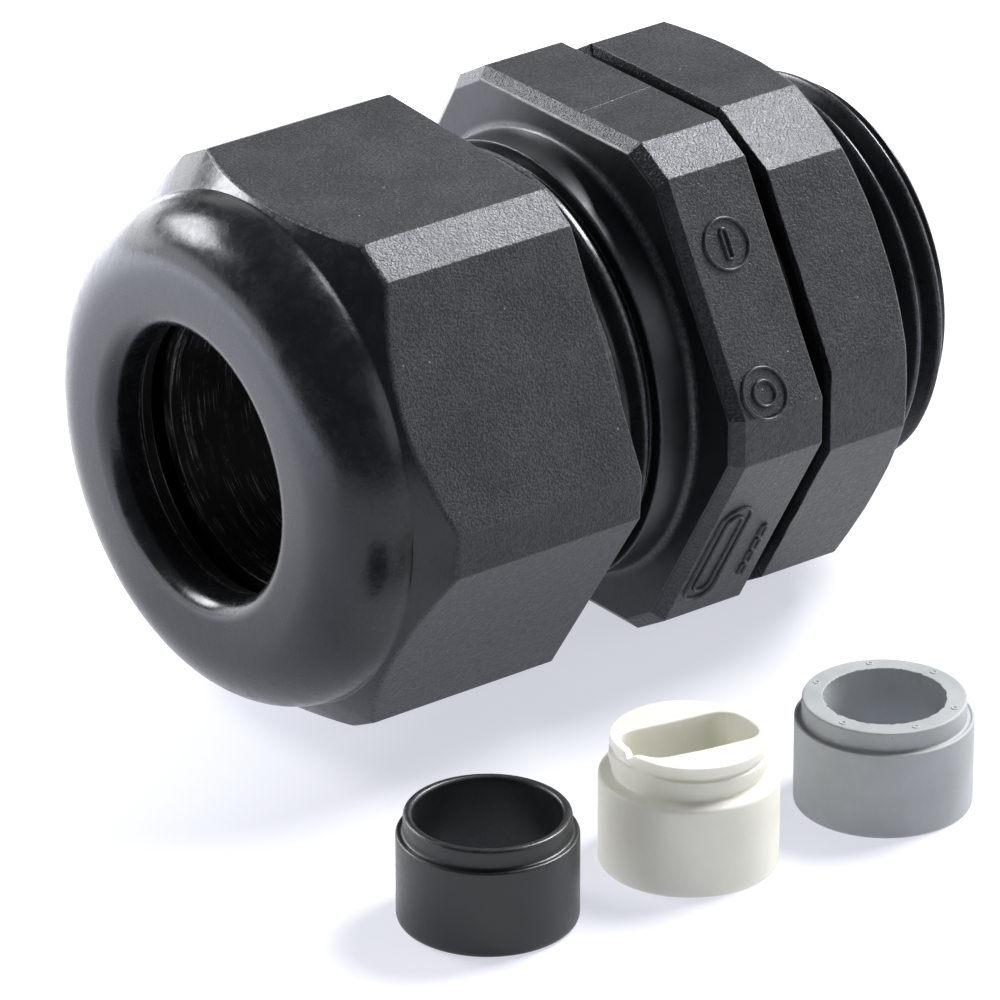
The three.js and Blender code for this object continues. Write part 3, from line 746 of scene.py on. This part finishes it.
def build_seal():
    """The fitted seal, on a mesh of its own."""
    rows, edge = section_rows([
        (SEAL_FRONT, SEAL_BORE, 0.12, 1),
        (SEAL_FRONT, SEAL_COLLAR, 0.3, 2),
        (SEAL_SHOULDER, SEAL_COLLAR, 0.2, 1),
        (SEAL_SHOULDER, SEAL_FRONT_RADIUS, 0.3, 4),
        (SEAL_CONE_END, SEAL_REAR_RADIUS, 0.5, 2),
        (SEAL_REAR, SEAL_REAR_RADIUS, 0.3, 2),
        (SEAL_REAR, SEAL_BORE, 0.3, 10),
    ])
    sleeve = turned("fitted_seal_sleeve", rows, circle(144), "gland_body", SEAL,
                    edge[:, None] * 0.3, ["fitted_seal"])
    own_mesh(sleeve)


def finger_columns(offsets, number):
    """The columns of one claw finger, from its section's offsets from the pivot. Its two ends are rounded."""
    pivot_along, pivot_radius = FINGER_PIVOT
    centre = math.pi / 2 + number * 2 * math.pi / FINGERS
    up = np.array([0.0, math.cos(centre), math.sin(centre)])
    across = np.array([0.0, -math.sin(centre), math.cos(centre)])
    centroid = offsets.mean(0)
    inner_columns = [(share, 0.0) for share in (-0.95, -0.5, 0.0, 0.5, 0.95)]
    columns = []
    for share, shrink in [(-1.0, 0.12), (-0.985, 0.04), *inner_columns, (0.985, 0.04), (1.0, 0.12)]:
        section = (offsets - centroid) * (1 - shrink) + centroid
        radius = section[:, 1] + pivot_radius
        height = radius * math.cos(share * FINGER_HALF_ANGLE) - pivot_radius
        aside = radius * math.sin(share * FINGER_HALF_ANGLE)
        along = section[:, 0] * math.cos(FINGER_LEAN) - height * math.sin(FINGER_LEAN)
        lifted = section[:, 0] * math.sin(FINGER_LEAN) + height * math.cos(FINGER_LEAN)
        columns.append(np.array([0.0, 0.0, AXIS_HEIGHT]) + np.outer(along + pivot_along, [1.0, 0, 0])
                       + np.outer(lifted + pivot_radius, up) + np.outer(aside, across))
    return np.array(columns)


def build_fingers():
    """The claw fingers, each a bar of a ring that its thin root lets lean inwards."""
    outline, edge = section_rows([
        (-15.3, 11.7, 0.08, 1),
        (-16.3, 11.7, 0.3, 1),
        (-17.3, 11.5, 0.3, 3),
        (-22.4, 11.5, 0.2, 1),
        (-22.4, 12.3, 0.2, 1),
        (-21.4, 13.0, 0.4, 3),
        (-17.3, 13.0, 0.3, 1),
        (-16.3, 12.5, 0.3, 1),
        (-15.3, 12.5, 0.08, 1),
    ], arc=3)
    offsets = outline[:, 0] - np.array(FINGER_PIVOT)
    for number in range(FINGERS):
        grid = finger_columns(offsets, number).transpose(1, 0, 2)
        rows, count = grid.shape[:2]
        faces = grid_faces(rows, count, close_columns=False)
        faces.append(tuple(r * count for r in range(rows)))
        faces.append(tuple(r * count + count - 1 for r in reversed(range(rows))))
        node = f"claw_finger_{number + 1:02d}"
        make_object(node + "_bar", grid.reshape(-1, 3), faces, node, NUT_SMOOTH,
                    np.repeat(edge, count) * 0.3, [node])


# --- the loose inserts ---


def standing(name, node, heights, radii, edge, material):
    """A ring that stands at a loose insert's place, from a grid of heights and radii."""
    x, y = middle(node, 0), middle(node, 1)
    columns = heights.shape[1]
    angles = circle(columns)
    points = np.stack([x + radii * np.cos(angles), y + radii * np.sin(angles), heights], -1).reshape(-1, 3)
    faces = grid_faces(len(heights), columns)
    make_object(name, points, faces, node, material, np.repeat(edge, columns), [node])


def build_black_insert():
    rows, edge = section_rows([
        (0, BLACK_BORE, 0.25, 1),
        (0, INSERT_RADIUS, 0.5, 6),
        (INSERT_SHOULDER, INSERT_RADIUS, 0.42, 1),
        (INSERT_SHOULDER, INSERT_COLLAR_RADIUS, 0.22, 2),
        (INSERT_HEIGHT, INSERT_COLLAR_RADIUS, 0.3, 1),
        (INSERT_HEIGHT, BLACK_BORE, 0.26, 8),
    ], 144, arc=6)
    standing("black_sleeve", "insert_black", rows[..., 0], rows[..., 1], edge * 0.7, BLACK_RUBBER)


def build_grey_insert():
    """The thick-walled sleeve, with a ragged rim where its core was torn out and pin marks on its top."""
    columns = 216
    rows, edge = section_rows([
        (0, GREY_BORE, 0.2, 3),
        (0, INSERT_RADIUS, 0.25, 6),
        (INSERT_SHOULDER - 0.08, INSERT_RADIUS, 0.06, 1),
        (INSERT_SHOULDER, 5.28, 0.06, 1),
        (INSERT_SHOULDER - 0.09, 5.16, 0.06, 1),
        (INSERT_SHOULDER - 0.06, INSERT_COLLAR_RADIUS, 0.12, 3),
        (INSERT_HEIGHT, INSERT_COLLAR_RADIUS, 0.14, 4),
        (INSERT_HEIGHT, GREY_BORE, 0.06, 8),
    ], columns)
    heights, radii = rows[..., 0], rows[..., 1]
    rng = np.random.default_rng(3)
    torn = np.convolve(rng.normal(0, 1, columns + 2), [0.2, 0.6, 0.2], "same")[:columns] * 0.045
    at_top = np.exp(-((heights - INSERT_HEIGHT) / 0.12) ** 2)
    at_rim = at_top * np.exp(-((radii - GREY_BORE) / 0.12) ** 2)
    standing("grey_sleeve", "insert_grey", heights, radii + at_rim * torn, edge * 0.5, GREY_RUBBER)
    x, y = middle("insert_grey", 0), middle("insert_grey", 1)
    for number, degrees in enumerate(PIN_MARKS):
        angle = math.radians(degrees)
        centre = (x + PIN_MARK_CIRCLE * math.cos(angle), y + PIN_MARK_CIRCLE * math.sin(angle))
        path = [(*place, INSERT_HEIGHT) for place in ring_outline(*centre, PIN_MARK_RADIUS, 20)]
        ridge(f"grey_pin_mark_{number + 1}", path, [(0, 0, 1.0)] * 20, 0.12, 0.045, "insert_grey",
              GREY_RUBBER, wear=0.6)


def plug_layers(height, slot_radius):
    """The white plug's surface as layers of (radius at each column, height, wear), from its base's edge
    up its outside, across its top, down its slot and back across its base."""
    rows, edge = section_rows([
        (0, PLUG_BASE_RADIUS, None, 1),
        (0, INSERT_RADIUS, 0.45, 6),
        (5.72, INSERT_RADIUS, 0.3, 2),
        (5.98, 4.56, 0.2, 3),
        (7.16, 4.5, 0.08, 1),
        (7.26, PLUG_NECK_RADIUS, 0.1, 1),
        (7.42, PLUG_NECK_RADIUS, 0.1, 1),
        (7.5, PLUG_CAP_RADIUS, 0.08, 3),
        (height, PLUG_CAP_RADIUS, 0.14, 1),
        (height, PLUG_NECK_RADIUS, None, 1),
    ], arc=5)
    outside, outside_edge = rows[:-2, 0], edge[:-2]
    layers = [(np.full(len(slot_radius), radius), z, e) for (z, radius), e in zip(outside, outside_edge)]
    rim = outside[-1, 1]
    for z, share in ((height, 0.5), (height, 0.14), (height - 0.03, 0.04), (height - 0.12, 0.0)):
        layers.append((slot_radius + (rim - slot_radius) * share, z, 0.3))
    for step in range(1, 9):
        layers.append((slot_radius, (height - 0.12) * (1 - step / 8) + 0.1 * step / 8, 0.0))
    for share in (0.04, 0.5):
        layers.append((slot_radius + (PLUG_BASE_RADIUS - slot_radius) * share, 0.0, 0.0))
    return layers


def build_white_insert():
    """The insert for flat cable: a stepped plug, cut nearly in two by its slot. Its front half sits askew."""
    node = "insert_white"
    reach, half_width = SLOT_REACH, SLOT_HALF_WIDTH
    corners = [(reach, -half_width), (reach, half_width), (-reach, half_width), (-reach, -half_width)]
    slot, _ = rounded(corners, [SLOT_FILLET] * 4, 14, [2, 34, 2, 34], support=0.3)
    angles = np.unwrap(np.arctan2(slot[:, 1], slot[:, 0]))
    layers = plug_layers(span(node, 2)[1], np.hypot(slot[:, 0], slot[:, 1]))
    radii = np.array([layer[0] for layer in layers])
    heights = np.repeat([[layer[1]] for layer in layers], len(slot), axis=1)
    wear = np.repeat([layer[2] for layer in layers], len(slot)) * 0.2
    along, across = radii * np.cos(angles), radii * np.sin(angles)
    rise = np.clip((heights - 5.9) / 0.9, 0, 1)
    rise = rise * rise * (3 - 2 * rise)
    side = np.clip(-across / 1.6, -1, 1)
    along = along + rise * 0.22 * side
    across = across - rise * 0.14 * side
    at_slot_end = np.exp(-((across + 0.55) / 0.28) ** 2) * np.clip((-along - 3.4) / 0.4, 0, 1)
    notch = at_slot_end * np.clip((heights - 7.2) / 0.5, 0, 1)
    cosine, sine = math.cos(SLOT_TURN), math.sin(SLOT_TURN)
    x = middle(node, 0) + along * cosine - across * sine
    y = middle(node, 1) + along * sine + across * cosine
    points = np.stack([x, y, heights - notch * 0.45], -1).reshape(-1, 3)
    faces = grid_faces(len(layers), len(slot))
    make_object("white_plug", points, faces, node, WHITE_SILICONE, wear, [node])


# --- floor, light and camera ---

WORLD_COLOUR, WORLD_STRENGTH = colour(0.93, 0.96, 1.0), 0.14
LIT_POINT = (-0.008, 0.0, 0.0165)

# Each softbox: its direction from LIT_POINT, then its distance, width, height and radiance.
SOFTBOXES = {
    "key_box": ((0.66, -0.02, 0.75), 0.7, 0.25, 0.25, 44.0),
    "back_box": ((-0.307, 0.80, 0.515), 0.7, 0.33, 0.22, 17.0),
    "fill_box": ((0.546, -0.73, 0.40), 0.9, 0.70, 0.45, 1.25),
    "rear_fill": ((0.546, 0.717, 0.434), 0.9, 0.55, 0.35, 0.85),
    "rear_strip": ((-0.10, 0.98, 0.12), 0.9, 0.75, 0.17, 4.5),
    "left_strip": ((-0.78, 0.60, 0.14), 0.9, 0.70, 0.20, 3.0),
    "right_strip": ((0.95, -0.25, 0.16), 0.9, 0.5, 0.22, 2.5),
}


def build_floor():
    """A pale floor that glows, more strongly behind the gland than in front of it. The glow is painted light:
    it fills the shadows on the floor and lights the gland's lower faces.
    """
    size = 1.6
    corners = [(-size, -size, 0), (size, -size, 0), (size, size, 0), (-size, size, 0)]
    mesh = bpy.data.meshes.new("floor")
    mesh.from_pydata(corners, [], [(0, 1, 2, 3)])
    floor = bpy.data.objects.new("floor", mesh)
    bpy.context.scene.collection.objects.link(floor)
    s = Shader("glowing floor", Roughness=0.9, Specular_IOR_Level=0.1, Emission_Color=colour(0.96, 0.98, 1.09))
    cloudy = s.ramp(s.noise(60.0), 0.3, 0.7)
    s.link("Base Color", s.mix_colour(cloudy, colour(0.34, 0.34, 0.34), colour(0.37, 0.37, 0.37)))
    parts = s.add("ShaderNodeSeparateXYZ", {0: s.place})
    behind, left = s.math("MULTIPLY", parts.outputs["Y"], 0.89), s.math("MULTIPLY", parts.outputs["X"], 0.45)
    away = s.math("SUBTRACT", behind, left)
    # Painted light: this emission, not a lamp, washes out the floor's shadows and glows brighter behind the
    # gland.
    s.link("Emission Strength", s.ramp(away, 0.0, 0.2, 0.60, 4.0))
    mesh.materials.append(s.material)


def build_lights():
    world = bpy.data.worlds.new("studio")
    world.use_nodes = True
    background = world.node_tree.nodes["Background"]
    background.inputs["Color"].default_value = WORLD_COLOUR
    background.inputs["Strength"].default_value = WORLD_STRENGTH
    bpy.context.scene.world = world
    for name, (direction, distance, width, height, radiance) in SOFTBOXES.items():
        data = bpy.data.lights.new(name, "AREA")
        data.shape = "RECTANGLE"
        data.size, data.size_y = width, height
        data.energy = radiance * math.pi * width * height
        light = bpy.data.objects.new(name, data)
        towards = Vector(direction).normalized()
        light.location = Vector(LIT_POINT) + towards * distance
        light.rotation_euler = (-towards).to_track_quat("-Z", "Y").to_euler()
        bpy.context.scene.collection.objects.link(light)


def build_camera():
    """The camera, from the directions behind it and to its right, aimed a little off their axis."""
    behind = Vector((-0.54575, -0.71660, 0.43433)).normalized()
    right = Vector((0.79458, -0.60715, -0.00331)).normalized()
    up = behind.cross(right)
    view = (-behind + right * 0.004442 + up * 0.002164).normalized()
    side = view.cross(up).normalized()
    top = side.cross(view)
    place = Vector((-0.30406, -0.38538, 0.24055))
    data = bpy.data.cameras.new("camera")
    data.sensor_width = 36.0
    data.lens = 310.8
    data.clip_start, data.clip_end = 0.05, 20.0
    camera = bpy.data.objects.new("camera", data)
    camera.matrix_world = Matrix.Translation(place) @ Matrix((side, top, -view)).transposed().to_4x4()
    bpy.context.scene.collection.objects.link(camera)
    bpy.context.scene.camera = camera


build_body()
build_marks()
build_dome_nut()
build_lock_nut()
build_rings()
build_seal()
build_fingers()
build_threads()
build_black_insert()
build_white_insert()
build_grey_insert()
build_floor()
build_lights()
build_camera()
bpy.context.scene.view_settings.view_transform = "Standard"
